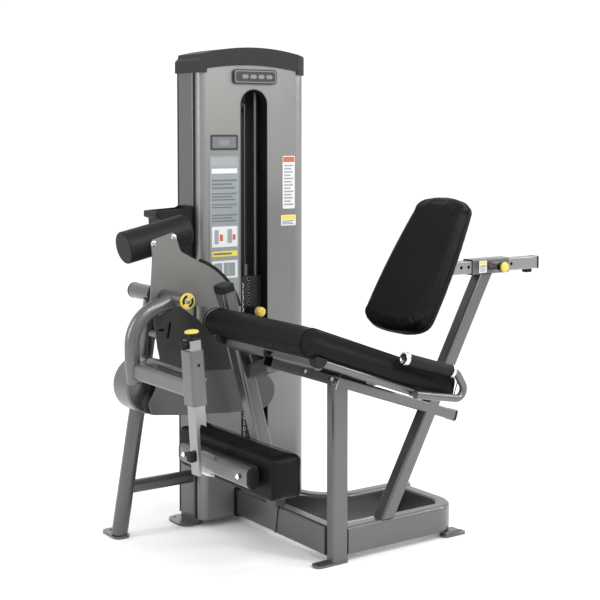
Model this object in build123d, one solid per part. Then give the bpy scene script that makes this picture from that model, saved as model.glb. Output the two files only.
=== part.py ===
"""Seated leg extension machine with a selectorised weight stack.

Millimetres, +Z up. The user sits facing -Y; the weight tower stands on the -X side.
Sizes below are written from the foot of the front post, and every node is shifted
at the end so that the origin is the centre of the footprint on the floor.
"""
from math import atan2, cos, degrees, hypot, radians, sin, tan
import os

from build123d import *

# Footprint centre, seen from the foot of the front post.
CENTRE_X, CENTRE_Y = -248.25, 194.0

# Frame tubes.
TUBE = 50.0
WALL = 3.0
POST_X, POST_Y = (-42.0, 0.0), (6.0, 68.0)
MID_X = -25.0
BASE_Z = (22.0, 122.0)
LOOP_TOP = 116.0
FOOT_T = 8.0

# Weight tower.
TOWER_FRONT, TOWER_BACK = -590.0, -740.0
TOWER_LEFT, SHROUD_LEFT, TOWER_RIGHT = -142.0, -137.0, 325.0
UPRIGHT_X, UPRIGHT_TOP = (-740.0, -632.0), 1622.0
SHROUD_CORNER, LEFT_CORNER, SHEET = 60.0, 28.0, 3.0
SHROUD_Z = (25.0, 1645.0)
SLOT_Y = (30.0, 143.0)
SLOT_Z = (180.0, 1559.0)
SLOT_DEPTH = 36.0
CAP_Z, CAP_TOP = 1614.0, 1705.0

# Weight stack.
STACK_X, STACK_Y = -655.0, 86.5
PLATE_X = (-704.0, -629.0)
PLATE_WIDTH, PLATE_PITCH, PLATE_GAP = 190.0, 22.0, 0.6
STACK_TOP, PLATES, LIFTED = 882.0, 31, 6
ROD_SPACING, ROD_R = 45.0, 9.5
TOP_PULLEY_R, TOP_PULLEY_Z = 26.0, 1500.0
STACK_BASE_Z = 126.0

# Work arm pivot, an axis along X.
PIVOT_Y, PIVOT_Z = -350.0, 858.0
AXLE_R, HUB_R = 15.0, 27.0
CAM_X = (-470.0, -464.0)
BELT_X = (-488.0, -478.0)
BELT_T = 2.0
CAM_PULLEY_R = 57.0
LOWER_Y, LOWER_Z, LOWER_R = -360.0, 545.0, 47.0
REAR_Y, REAR_Z, REAR_R = 20.0, 495.0, 40.0
GUARD_X = (-459.0, -454.0)
LEG_LINE = [(-677, -420, 8), (-650, -322, 672), (-560, -349, 845)]
DRUM_Y, DRUM_Z, DRUM_R = -380.0, 551.0, 94.0

# Seat, a plane that falls towards the rear.
RAIL_Z, RAIL_REAR = 632.0, 530.0
SEAT_X = (-300.0, 250.0)
SEAT_FRONT, SEAT_FRONT_Z = -193.0, 810.0
SEAT_SLOPE = 20.1
SEAT_T = 75.0
BOLSTER_Y, BOLSTER_Z, BOLSTER_R = -258.0, 788.0, 43.0

# Shin pad slide, tilted so that its top leans towards -Y.
SLEEVE_TOP = (-502.0, 754.0)
SLEEVE_BOTTOM = (-491.0, 587.0)
SLIP = 0.3

# Back pad slide, level along Y.
BACK_Z = 937.0
BACK_HOLE_Y, BACK_HOLE_PITCH = 692.0, 34.0
BACK_LEAN = 29.5

HANDLE_X = 275.0
GRIP_R, CHROME_COLLAR_R = 18.5, 21.5

nodes = {}


def block(x, y, z, corner=0.0, along=None):
    """Box between two values on each axis, with the edges along one axis rounded."""
    size = (x[1] - x[0], y[1] - y[0], z[1] - z[0])
    middle = ((x[0] + x[1]) / 2, (y[0] + y[1]) / 2, (z[0] + z[1]) / 2)
    solid = Location(middle) * Box(*size)
    if corner:
        solid = fillet(solid.edges().filter_by(along), corner)
    return solid


def rod(start, end, radius, bore=0.0):
    """Round bar or tube between two points."""
    a, b = Vector(*start), Vector(*end)
    plane = Plane(origin=a, z_dir=b - a)
    length = (b - a).length
    solid = extrude(plane * Circle(radius), amount=length)
    if bore:
        solid -= extrude(plane * Circle(bore), amount=length)
    return solid


def rod_x(x, y, z, radius, bore=0.0):
    """Round bar or tube along X."""
    return rod((x[0], y, z), (x[1], y, z), radius, bore)


def beam(start, end, width, depth, corner=8.0, wall=0.0, side=(1, 0, 0)):
    """Rectangular bar or tube between two points; its width runs along side."""
    a, b = Vector(*start), Vector(*end)
    plane = Plane(origin=a, x_dir=side, z_dir=b - a)
    length = (b - a).length
    solid = extrude(plane * RectangleRounded(width, depth, corner), amount=length)
    if wall:
        inner = RectangleRounded(width - 2 * wall, depth - 2 * wall, max(corner - wall, 1))
        solid -= extrude(plane * inner, amount=length)
    return solid


def pipe(points, radius, bends, bore=0.0):
    """Bent round tube along a polyline with rounded corners."""
    path = FilletPolyline(*points, radius=bends)
    plane = Plane(origin=path @ 0, z_dir=path % 0)
    solid = sweep(plane * Circle(radius), path=path)
    if bore:
        solid -= sweep(plane * Circle(bore), path=path)
    return solid


def side_plane(x):
    """Sketch plane across X: its first axis is +Y and its second is +Z."""
    return Plane(origin=(x, 0, 0), x_dir=(0, 1, 0), z_dir=(1, 0, 0))


def plate_x(points, x, corner=0.0):
    """Flat plate across X with an outline of (y, z) points."""
    face = make_face(Polyline(*points, close=True))
    if corner:
        face = fillet(face.vertices(), corner)
    return extrude(side_plane(x[0]) * face, amount=x[1] - x[0])


def along(start, end, distance):
    """Point at a distance from start towards end, in the YZ plane."""
    length = hypot(end[0] - start[0], end[1] - start[1])
    share = distance / length
    return (start[0] + share * (end[0] - start[0]), start[1] + share * (end[1] - start[1]))


def seat_point(run, drop):
    """Point (y, z) at a run down the seat from its front edge and a drop below its top."""
    a = radians(SEAT_SLOPE)
    return (SEAT_FRONT + run * cos(a) - drop * sin(a), SEAT_FRONT_Z - run * sin(a) - drop * cos(a))


def seat_box(run, drop, x, corner=0.0):
    """Plate-like solid that follows the seat's slope."""
    outline = [seat_point(run[0], drop[0]), seat_point(run[1], drop[0]),
               seat_point(run[1], drop[1]), seat_point(run[0], drop[1])]
    return plate_x(outline, x, corner)


# ---------------------------------------------------------------- weight tower

def tower_frame():
    """Two uprights joined by a base beam and a top beam."""
    outer, inner = (TOWER_LEFT, TOWER_LEFT + 37), (TOWER_LEFT + 3, TOWER_LEFT + 34)
    left = block(UPRIGHT_X, outer, (FOOT_T, UPRIGHT_TOP), 12, Axis.Z)
    left -= block((UPRIGHT_X[0] + 3, UPRIGHT_X[1] - 3), inner, (FOOT_T, UPRIGHT_TOP), 9, Axis.Z)
    nodes["tower_upright_left"] = left
    right = block((-714, -654), (284, 320), (FOOT_T, 1598), 8, Axis.Z)
    right -= block((-711, -657), (287, 317), (FOOT_T, 1598), 5, Axis.Z)
    nodes["tower_upright_right"] = right
    base = block((-714, -654), (outer[1], 284), (25, 118), 8, Axis.Y)
    base -= block((-711, -657), (outer[1], 284), (28, 115), 5, Axis.Y)
    nodes["tower_base_beam"] = base + block((-708, -628), (15, 144), (118, STACK_BASE_Z))
    top = block((-714, -640), (outer[1], 284), (1560, 1598), 8, Axis.Y)
    nodes["tower_top_beam"] = top - rod((STACK_X, STACK_Y, 1550), (STACK_X, STACK_Y, 1600), 9)


def slot_outline(grow, z_low):
    """Arched window outline of the shroud, grown outwards by a margin."""
    width = SLOT_Y[1] - SLOT_Y[0] + 2 * grow
    middle = (SLOT_Y[0] + SLOT_Y[1]) / 2
    top = SLOT_Z[1] + grow
    height = top - z_low
    return Pos(middle, (top + z_low) / 2) * RectangleRounded(width, height, width / 2 - 0.5)


def round_front(solid, inset):
    """Rounds the two front corners of the shroud, the left one tighter than the right."""
    front = solid.edges().filter_by(Axis.Z).group_by(Axis.X)[-1].sort_by(Axis.Y)
    solid = fillet(front[0], LEFT_CORNER - inset)
    front = solid.edges().filter_by(Axis.Z).sort_by(Axis.Y)[-2:].sort_by(Axis.X)
    return fillet(front[-1], SHROUD_CORNER - inset)


def tower_shroud():
    """Folded front cover with the arched window and the passages of the base tubes."""
    depth, low, high = (TOWER_BACK, TOWER_FRONT), *SHROUD_Z
    wide = (SHROUD_LEFT, TOWER_RIGHT)
    shell = block(depth, wide, (low, high))
    shell = round_front(shell, 0)
    inner = block((TOWER_BACK, TOWER_FRONT - SHEET), (wide[0] + SHEET, wide[1] - SHEET), (low, high))
    shell -= round_front(inner, SHEET)
    shell -= block((TOWER_BACK - 10, UPRIGHT_X[1] + 4), (wide[0] - 10, wide[0] + 40), (low, high))
    window = extrude(side_plane(TOWER_FRONT - 2 * SHEET) * slot_outline(0, SLOT_Z[0]), amount=12)
    shell -= window
    shell -= block((-600, -580), (-1, 51), (0, 124))
    shell -= block((-600, -580), (144, 196), (0, 124))
    nodes["tower_shroud"] = shell
    bezel = extrude(side_plane(TOWER_FRONT - SLOT_DEPTH) * slot_outline(-0.2, SLOT_Z[0] + 0.2),
                    amount=SLOT_DEPTH + 2)
    bezel -= extrude(side_plane(TOWER_FRONT - SLOT_DEPTH - 1) * slot_outline(-3.2, SLOT_Z[0] + 3.2),
                     amount=SLOT_DEPTH + 5)
    nodes["slot_bezel"] = bezel
    back = block((TOWER_BACK - 3, TOWER_BACK), (TOWER_LEFT, TOWER_RIGHT), (SHROUD_Z[0], 1598))
    nodes["tower_back_panel"] = back


def cap_outline(inset):
    """Domed outline of the tower cap across X, shrunk by an inset."""
    left, right = TOWER_LEFT - 5 + inset, TOWER_RIGHT + 6 - inset
    crown = CAP_TOP - inset
    low = Line((left, CAP_Z), (right, CAP_Z))
    right_end = Line((right, CAP_Z), (right, crown - 42))
    shoulder = Line((right, crown - 42), (right - 10, crown - 28))
    dome = ThreePointArc((right - 10, crown - 28), (30, crown), (left + 14, crown - 26))
    step = Line((left + 14, crown - 26), (left + 12, crown - 38))
    ledge = Line((left + 12, crown - 38), (left, crown - 50))
    left_end = Line((left, crown - 50), (left, CAP_Z))
    return make_face([low, right_end, shoulder, dome, step, ledge, left_end])


def tower_cap():
    """Moulded hood with a domed top, open underneath."""
    depth = (TOWER_BACK - 8, TOWER_FRONT + 6)
    hood = extrude(side_plane(depth[0]) * cap_outline(0), amount=depth[1] - depth[0])
    plan = block(depth, (TOWER_LEFT - 5, TOWER_RIGHT + 6), (CAP_Z - 5, CAP_TOP + 5))
    right_front = plan.edges().filter_by(Axis.Z).sort_by(Axis.X)[-2:].sort_by(Axis.Y)[-1]
    plan = fillet(right_front, 62)
    hood &= plan
    depth = (TOWER_BACK - 4, TOWER_FRONT + 2)
    core = extrude(side_plane(depth[0]) * cap_outline(4), amount=depth[1] - depth[0])
    plan = block(depth, (TOWER_LEFT - 1, TOWER_RIGHT + 2), (CAP_Z - 5, CAP_TOP + 5))
    right_front = plan.edges().filter_by(Axis.Z).sort_by(Axis.X)[-2:].sort_by(Axis.Y)[-1]
    plan = fillet(right_front, 58)
    hood -= core & plan
    left, right = TOWER_LEFT + 30, TOWER_RIGHT - 52
    arch = make_face([Line((left, CAP_Z), (right, CAP_Z)), Line((right, CAP_Z), (right, CAP_Z + 13)),
                      ThreePointArc((right, CAP_Z + 13), (70, CAP_Z + 30), (left, CAP_Z + 14)),
                      Line((left, CAP_Z + 14), (left, CAP_Z))])
    hood -= extrude(side_plane(TOWER_FRONT - 5) * arch, amount=20)
    nodes["tower_cap"] = hood - nodes["tower_shroud"]


def accessory_tray():
    """Open tub on the tower's left side, with a deep root against the upright."""
    root = TOWER_LEFT - 2
    tub = plate_x([(root, 1150), (-168, 1138), (-292, 1132), (-292, 1110), (-274, 1104),
                   (-270, 1055), (root, 950)], (-720, -634), 6)
    tub -= plate_x([(root - 7, 1200), (-284, 1200), (-284, 1117), (-268, 1111),
                    (-264, 1060), (root - 7, 966)], (-715, -639), 3)
    tub += block((-710, -644), (root, TOWER_LEFT), (1000, 1140))
    nodes["accessory_tray"] = tub


def stack_plate(z):
    """One weight plate with its rod holes and its pin hole."""
    y = (STACK_Y - PLATE_WIDTH / 2, STACK_Y + PLATE_WIDTH / 2)
    plate = block(PLATE_X, y, (z - PLATE_PITCH + PLATE_GAP, z), 4, Axis.Z)
    for shift in (-ROD_SPACING, ROD_SPACING):
        plate -= rod((STACK_X, STACK_Y + shift, z - 30), (STACK_X, STACK_Y + shift, z + 5), ROD_R + 1)
    plate -= rod((STACK_X, STACK_Y, z - 30), (STACK_X, STACK_Y, z + 5), 9)
    middle = z - (PLATE_PITCH - PLATE_GAP) / 2
    plate -= rod_x((STACK_X, PLATE_X[1] + 1), STACK_Y, middle, 5)
    return plate


def weight_stack():
    """Guide rods, resting plates, and the head, plates and rod that lift together."""
    nodes["guide_rods"] = [rod((STACK_X, STACK_Y + shift, STACK_BASE_Z),
                               (STACK_X, STACK_Y + shift, 1560), ROD_R)
                           for shift in (-ROD_SPACING, ROD_SPACING)]
    lowest = STACK_TOP - PLATES * PLATE_PITCH
    nodes["stack_cushions"] = [rod((STACK_X, STACK_Y + shift, STACK_BASE_Z),
                                   (STACK_X, STACK_Y + shift, lowest), 22, ROD_R + 0.2)
                               for shift in (-ROD_SPACING, ROD_SPACING)]
    tops = [STACK_TOP - step * PLATE_PITCH for step in range(PLATES)]
    head = stack_plate(tops[0])
    nodes["head_plate"] = head + rod((STACK_X, STACK_Y, STACK_TOP), (STACK_X, STACK_Y, 884), 16, 9)
    nodes["lifted_plates"] = [stack_plate(z) for z in tops[1:LIFTED]]
    nodes["resting_plates"] = [stack_plate(z) for z in tops[LIFTED:]]
    pin_z = tops[LIFTED - 1] - (PLATE_PITCH - PLATE_GAP) / 2
    selector = rod((STACK_X, STACK_Y, lowest + 20), (STACK_X, STACK_Y, 900), 8)
    selector -= rod_x((STACK_X - 10, STACK_X + 10), STACK_Y, pin_z, 4.7)
    selector += rod((STACK_X, STACK_Y, 884), (STACK_X, STACK_Y, 925), 13)
    nodes["selector_rod"] = selector
    nodes["stack_cable"] = rod((STACK_X, STACK_Y, 925), (STACK_X, STACK_Y, TOP_PULLEY_Z), 3)
    pin = rod_x((STACK_X - 7.5, -560), STACK_Y, pin_z, 4.5)
    pin += fillet(rod_x((PLATE_X[1] + 2, -536), STACK_Y, pin_z, 15).edges(), 4)
    nodes["weight_pin"] = pin


def pulley(middle, axis, width, radius, bore):
    """Pulley about a unit axis: a rim, a thin web and a hub, bored through."""
    centre = Vector(*middle)

    def disc(length, size):
        half = Vector(*axis) * (length / 2)
        return rod(tuple(centre - half), tuple(centre + half), size)

    rim = disc(width, radius) - disc(width, radius - 5)
    return rim + disc(4, radius - 4) + disc(width, bore + 7) - disc(width + 2, bore)


def cable_gear():
    """Top pulley on its hanger, and the side of the cable that runs down the back."""
    x = STACK_X - TOP_PULLEY_R - 3.3
    nodes["top_pulley"] = pulley((x, STACK_Y, TOP_PULLEY_Z), (0, 1, 0), 14, TOP_PULLEY_R, 8.05)
    hanger = [block((x - 14, x + 14), side, (1482, 1560))
              for side in ((STACK_Y - 13, STACK_Y - 8), (STACK_Y + 8, STACK_Y + 13))]
    axle = rod((x, STACK_Y - 13, TOP_PULLEY_Z), (x, STACK_Y + 13, TOP_PULLEY_Z), 8)
    nodes["top_pulley_hanger"] = hanger[0] + hanger[1] + axle
    back_x = x - TOP_PULLEY_R - 3.3
    nodes["rising_cable"] = rod((back_x, STACK_Y, STACK_BASE_Z), (back_x, STACK_Y, TOP_PULLEY_Z), 3)


# ---------------------------------------------------------------- base and seat frame

def base_frame():
    """Floor tubes: a cross tube to the tower and a closed loop behind the front post."""
    low, high = BASE_Z
    inner = block((-654, -320.5), (3, 47), (24, 118), 8, Axis.X)
    nodes["base_tower_tube"] = inner - block((-654, -320.5), (6, 44), (27, 115), 5, Axis.X)
    cross = block((-320, POST_X[0]), (0, 50), (low, high), 12, Axis.X)
    cross -= block((-310, POST_X[0] - WALL), (WALL, 50 - WALL), (low + WALL, high - WALL), 9, Axis.X)
    nodes["base_cross_tube"] = cross
    middle = (low + LOOP_TOP) / 2
    side_path = FilletPolyline((MID_X, POST_Y[1], middle), (MID_X, 536, middle), (-284.5, 536, middle),
                               radius=75)
    start = Plane(origin=side_path @ 0, x_dir=(1, 0, 0), z_dir=side_path % 0)
    nodes["base_side_tube"] = sweep(start * RectangleRounded(TUBE, LOOP_TOP - low, 12), path=side_path)
    far_path = FilletPolyline((-310, 570, 72), (-310, 170, 72), (-654, 170, 72), radius=170)
    start = Plane(origin=far_path @ 0, x_dir=(1, 0, 0), z_dir=far_path % 0)
    nodes["base_far_tube"] = sweep(start * RectangleRounded(TUBE, 100, 12), path=far_path)


def rail_top(y):
    """Height of the sloped rail's top face above a place along Y."""
    return RAIL_Z - 0.349 * y


def seat_rail():
    """Front post, sloped rail in two lengths, rear post and diagonal upright."""
    slope = degrees(atan2(0.349, 1))
    depth = 36.0
    half = depth / 2 / cos(radians(slope))
    rail_line = [(MID_X, y, rail_top(y) - half) for y in (-230, 2, RAIL_REAR)]
    nodes["front_beam"] = beam(rail_line[0], rail_line[1], TUBE, depth, 7, WALL)
    rail = beam(rail_line[1], rail_line[2], TUBE, depth, 7, WALL)
    nodes["rear_rail"] = rail
    envelope = beam(rail_line[0], rail_line[2], TUBE, depth, 7)
    above = plate_x([(-300, rail_top(-300) - 20), (600, rail_top(600) - 20), (600, 1100),
                     (-300, 1100)], (-60, 10))
    post = block(POST_X, POST_Y, (FOOT_T, 660), 9, Axis.Z)
    post -= block((POST_X[0] + 3, -3), (POST_Y[0] + 3, POST_Y[1] - 3), (FOOT_T, 660), 6, Axis.Z)
    nodes["front_post"] = post - envelope - above
    foot, head = (236.0, LOOP_TOP), (671.0, 905.0)
    lean = (head[0] - foot[0]) / (head[1] - foot[1])
    low = (MID_X, foot[0] - 40 * lean, foot[1] - 40)
    high = (MID_X, head[0] + 40 * lean, head[1] + 40)
    rear = beam(low, high, TUBE, TUBE, 9, WALL)
    rear -= block((-90, 40), (-200, 500), (0, LOOP_TOP))
    rear -= block((-90, 40), (400, 900), (910, 1100))
    nodes["rear_post"] = rear - envelope
    top, bottom = (-193.0, 876.0), (5.0, 145.0)
    reach = (bottom[0] - top[0]) / (top[1] - bottom[1])
    upright = beam((-340, top[0], top[1]), (-340, bottom[0] + 60 * reach, bottom[1] - 60), 60, 52, 12, WALL)
    upright -= block((-400, -280), (-60, 100), (0, 122))
    toe = Plane(origin=(0, 0, 0), x_dir=(1, 0, 0), z_dir=(0, -1, 0))
    gusset = make_face(Polyline((-370, 121), (-308, 121), (-318, 60), (-322, 26), (-332, 30), close=True))
    upright += extrude(toe * gusset, amount=4) + block((-370, -310), (-4, 0), (118, 140))
    nodes["diagonal_upright"] = upright
    lift = (top[0] - reach * 26, top[1] + 26)
    cap = beam((-340, top[0], top[1]), (-340, lift[0], lift[1]), 63, 55, 14)
    nodes["tube_caps"] = [fillet(cap.edges().group_by(Axis.Z)[-1], 6)]
    end = rail_line[2]
    tip = (MID_X, end[1] + 8, end[2] - 8 * 0.349)
    nodes["tube_caps"].append(beam(end, tip, TUBE + 2, depth + 3, 9))
    start, finish = (-310, -98, 604), (-25, -205, rail_top(-205) - 20)
    brace = beam(start, finish, 44, 50, 8, side=(0, 1, 0))
    brace -= block((-400, -310), (-400, 100), (400, 800)) + block((-50, 60), (-400, 100), (400, 800))
    nodes["beam_brace"] = brace


def seat():
    """Seat board, cushion, knee bolster and the bars under them."""
    bolster = rod_x(SEAT_X, BOLSTER_Y, BOLSTER_Z, BOLSTER_R)
    nodes["knee_bolster"] = fillet(bolster.edges(), 8)
    cushion = seat_box((-20, 548), (0, SEAT_T), SEAT_X, 8)
    cushion -= rod_x((-400, 400), BOLSTER_Y, BOLSTER_Z, BOLSTER_R + 0.5)
    nodes["seat_cushion"] = cushion
    board = seat_box((-10, 520), (SEAT_T + 0.3, SEAT_T + 12), (-262, 212), 5)
    ends = [seat_point(run, SEAT_T + 12) for run in (95, 385)]
    spine = plate_x([ends[0], ends[1], (ends[1][0], rail_top(ends[1][0])),
                     (ends[0][0], rail_top(ends[0][0]))], (-40, -10))
    nodes["seat_board"] = [board, spine]
    risers = []
    for run in (60, 420):
        y, z = seat_point(run, SEAT_T + 12)
        foot_z = rail_top(y)
        risers.append(beam((MID_X, y, foot_z), (MID_X, y, z + 14), 46, 60, 6))
    under = seat_box((-60, 600), (SEAT_T + 12, -200), (-400, 400))
    below = plate_x([(-300, rail_top(-300)), (600, rail_top(600)), (600, 0), (-300, 0)], (-80, 30))
    nodes["seat_risers"] = [riser - under - below for riser in risers]
    tubes = []
    for x in (238, 2 * MID_X - 238):
        a, b = seat_point(0, SEAT_T + 12.8), seat_point(380, SEAT_T + 12.8)
        tubes.append(rod((x, *a), (x, *b), 12.5))
    nodes["seat_side_tubes"] = tubes
    bar_low = seat_point(8, SEAT_T + 12.3)
    bar = block((-275, 225), (bar_low[0] - 15, bar_low[0] + 15), (bar_low[1] - 26, bar_low[1] + 14), 12,
                Axis.X)
    bar -= seat_box((-60, 600), (SEAT_T + 12, -200), (-400, 400))
    bar -= block((-52, 2), (-400, 0), (0, rail_top(-230) + 14))
    for tube in tubes:
        bar -= tube
    nodes["seat_front_bar"] = bar - nodes["front_beam"] - nodes["beam_brace"]
    caps = [fillet(rod_x(x, *seat_point(-9, SEAT_T + 8), 25).edges(), 5)
            for x in ((226, 256), (2 * MID_X - 250, 2 * MID_X - 226))]
    room = seat_box((-60, 600), (SEAT_T + 0.3, -200), (-400, 400)) + \
        rod_x((-400, 400), BOLSTER_Y, BOLSTER_Z, BOLSTER_R + 0.4)
    nodes["seat_corner_caps"] = [cap - room for cap in caps]
    nodes["seat_side_tubes"] = [tube - caps[0] - caps[1] for tube in tubes]


def handle(x):
    """Bent side handle: lower leg, rear bend and the leg that the grip slides on."""
    points = [(x, 116, 596), (x, 345, 553), (x, 285, 648), (x, 70, 714)]
    return pipe(points, 12.5, 28)


def handles():
    """Side handles with rubber grips and chrome collars."""
    near, far = HANDLE_X, 2 * MID_X - HANDLE_X
    front, rear = (70.0, 714.0), (285.0, 648.0)
    collar_a = along(front, rear, 10)
    collar_b = along(front, rear, 196)
    collar_c = along(front, rear, 206)
    grips, collars = [], []
    for name, x in (("handle_left", near), ("handle_right", far)):
        bar = handle(x)
        inward = -1 if x > 0 else 1
        lug = rod((x, 124, 594.5), (x + inward * 30, 124, 594.5), 9)
        lug -= rod((x + inward * 30, *seat_point(0, SEAT_T + 12.8)),
                   (x + inward * 30, *seat_point(440, SEAT_T + 12.8)), 12.5)
        nodes[name] = bar + lug
        grips.append(rod((x, *collar_a), (x, *collar_b), GRIP_R, 12.55))
        ends = (((x, *front), (x, *collar_a)), ((x, *collar_b), (x, *collar_c)))
        collars += [rod(a, b, CHROME_COLLAR_R, 12.55) for a, b in ends]
    nodes["hand_grips"] = grips
    nodes["grip_collars"] = collars


# ---------------------------------------------------------------- pivot and housing

def pivot_support():
    """Front leg, its brace and the fixed tube that carries the pivot axle."""
    leg = pipe(LEG_LINE, 28, 120, 25) - block((-740, -600), (-500, -360), (-20, FOOT_T))
    bearing = rod_x((-678, -492), PIVOT_Y, PIVOT_Z, HUB_R, AXLE_R + 0.02)
    leg -= rod_x((-700, -480), PIVOT_Y, PIVOT_Z, HUB_R)
    nodes["front_leg"] = leg
    nodes["bearing_tube"] = bearing
    nodes["pivot_axle"] = rod_x((-677, -328), PIVOT_Y, PIVOT_Z, AXLE_R)
    brace = rod((-670, -396, 170), (-670, TOWER_LEFT, 170), 23, 20)
    brace -= pipe(LEG_LINE, 28, 120)
    nodes["leg_brace"] = brace
    cross = rod_x((-625, -502), -326, 717, 17.5)
    cross -= pipe(LEG_LINE, 28, 120)
    nodes["pivot_cross_bar"] = cross
    nodes["tube_caps"].append(fillet(rod_x((-685, -678), PIVOT_Y, PIVOT_Z, HUB_R + 1).edges(), 3))


def belt_path():
    """Belt line: down from the cam pulley, under the lower pulley and back to the rear one."""
    gap = BELT_T / 2 + 0.3
    r1, r2 = LOWER_R + gap, REAR_R + gap
    reach = hypot(REAR_Y - LOWER_Y, REAR_Z - LOWER_Z)
    fall = atan2(LOWER_Z - REAR_Z, REAR_Y - LOWER_Y) + (r2 - r1) / reach
    corner = (LOWER_Y - r1, LOWER_Z - r1 * (1 - sin(fall)) / cos(fall))
    end = (REAR_Y - r2 * sin(fall), REAR_Z - r2 * cos(fall))
    middle = (BELT_X[0] + BELT_X[1]) / 2
    return [(middle, LOWER_Y - r1, PIVOT_Z), (middle, *corner), (middle, *end)], r1


def housing():
    """Guard plate, belt housing, drum cover, pulleys and the belt between them."""
    guard = plate_x([(-307, 822), (-398, 793), (-386, 692), (-377, 655), (-383, 610), (-95, 586),
                     (-120, 684), (-144, 702), (-190, 724), (-210, 751), (-226, 769), (-280, 808)],
                    GUARD_X, 5)
    guard -= plate_x([(-383, 744), (-361, 744), (-361, 752), (-383, 752)], (-465, -450), 3)
    guard -= plate_x([(-352, 718), (-344, 716), (-333, 771), (-341, 773)], (-465, -450), 3)
    nodes["guard_plate"] = guard
    side = [(-420, 505), (-394, 552), (-384, 608), (-93, 584), (20, 557), (82, 495), (20, 433),
            (-99, 436), (-307, 453), (-409, 466)]
    round_end = rod_x(GUARD_X, REAR_Y, REAR_Z, 62)
    panel = plate_x([p for p in side if p != (82, 495)], GUARD_X, 12) + round_end
    nodes["housing_panel"] = panel
    back_x = (-503.0, -499.0)
    back = plate_x([(-409, 466), (-420, 505), (-394, 540), (20, 540), (20, 433), (-99, 436), (-307, 453)],
                   back_x) + rod_x(back_x, REAR_Y, REAR_Z, 62)
    axles = [((-499, -474), REAR_Y, REAR_Z), ((-640, -474), LOWER_Y, LOWER_Z)]
    for x, y, z in axles:
        back -= rod_x((-510, -495), y, z, 8)
    floor = plate_x([(-409, 466), (-405, 469), (-307, 456), (-99, 439), (20, 436), (20, 433),
                     (-99, 436), (-307, 453)], (back_x[1], GUARD_X[0]))
    nodes["housing_back"] = back + floor
    drum = rod_x((-612, -505), DRUM_Y, DRUM_Z, DRUM_R)
    drum = fillet(drum.edges(), 8)
    drum -= rod_x((-608, -509), DRUM_Y, DRUM_Z, DRUM_R - 4)
    drum -= rod_x((-620, -500), LOWER_Y, LOWER_Z, 8)
    nodes["drum_cover"] = drum
    leg = pipe(LEG_LINE, 28, 120)
    shafts = [rod_x(x, y, z, 8) for x, y, z in axles]
    shafts[1] -= leg
    shafts[0] += rod_x((-509, -499), REAR_Y, REAR_Z, 8)
    nodes["pulley_axles"] = shafts
    belt_x, width = sum(BELT_X) / 2, BELT_X[1] - BELT_X[0]
    nodes["lower_pulley"] = pulley((belt_x, LOWER_Y, LOWER_Z), (1, 0, 0), width, LOWER_R, 8.05)
    nodes["rear_pulley"] = pulley((belt_x, REAR_Y, REAR_Z), (1, 0, 0), width, REAR_R, 8.05)
    points, bend = belt_path()
    path = FilletPolyline(*points, radius=bend)
    start = Plane(origin=path @ 0, x_dir=(1, 0, 0), z_dir=path % 0)
    belt = sweep(start * Rectangle(BELT_X[1] - BELT_X[0], BELT_T), path=path)
    nodes["drive_belt"] = belt


# ---------------------------------------------------------------- work arm

def arm():
    """Hub, bent arm tube, cross tube and sleeve, cam plate and counterweight."""
    hub_x = (CAM_X[1], -322.0)
    hub = rod_x(hub_x, PIVOT_Y, PIVOT_Z, HUB_R, AXLE_R + 0.05)
    nodes["arm_hub"] = hub
    nodes["hub_cap"] = fillet(rod_x((-322, -313), PIVOT_Y, PIVOT_Z, HUB_R + 1).edges(), 2.5)
    solid_hub = rod_x((CAM_X[1], -322), PIVOT_Y, PIVOT_Z, HUB_R)
    j_points = [(-400, -362, 852), (-400, -509, 806), (-400, -509, 672), (-400, -500, 590)]
    j_tube = pipe(j_points, 25, (120, 200))
    nodes["arm_tube"] = fillet(j_tube.edges().sort_by(Axis.Z)[0], 10) - solid_hub
    cross = block((-400, POST_X[0]), (-517, -467), (608, 662), 12, Axis.X)
    sleeve_low = SLEEVE_BOTTOM
    top = SLEEVE_TOP
    box = beam((MID_X - 3, *top), (MID_X - 3, *sleeve_low), 60, 50, 8)
    hole = beam((MID_X, *top), (MID_X, *sleeve_low), 44, 40, 4)
    cross -= pipe(j_points, 25, (120, 200))
    nodes["arm_cross_tube"] = cross - box
    sleeve = box - hole
    sleeve -= rod_x((-10, 10), -497, 711, 5)
    nodes["arm_sleeve"] = sleeve
    link = fillet(rod_x((-415, -62), -440, 654, 13.5).edges(), 10)
    lugs = [block((x, x + 20), (-467, -440), (644, 658)) for x in (-340, -120)]
    nodes["arm_link_bar"] = link + lugs[0] + lugs[1]
    cam_outline()
    axis = radians(12)
    centre = (-354, 1047)
    ends = [(-526, centre[0] + s * 122 * cos(axis), centre[1] + s * 122 * sin(axis)) for s in (-1, 1)]
    nodes["counterweight"] = fillet(rod(ends[0], ends[1], 55).edges(), 6)
    bolts = [rod_x((CAM_X[1], CAM_X[1] + 5), y, z, 7) for y, z in ((-392, 1037), (-316, 1055))]
    nodes["arm_bolts"] = bolts


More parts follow.
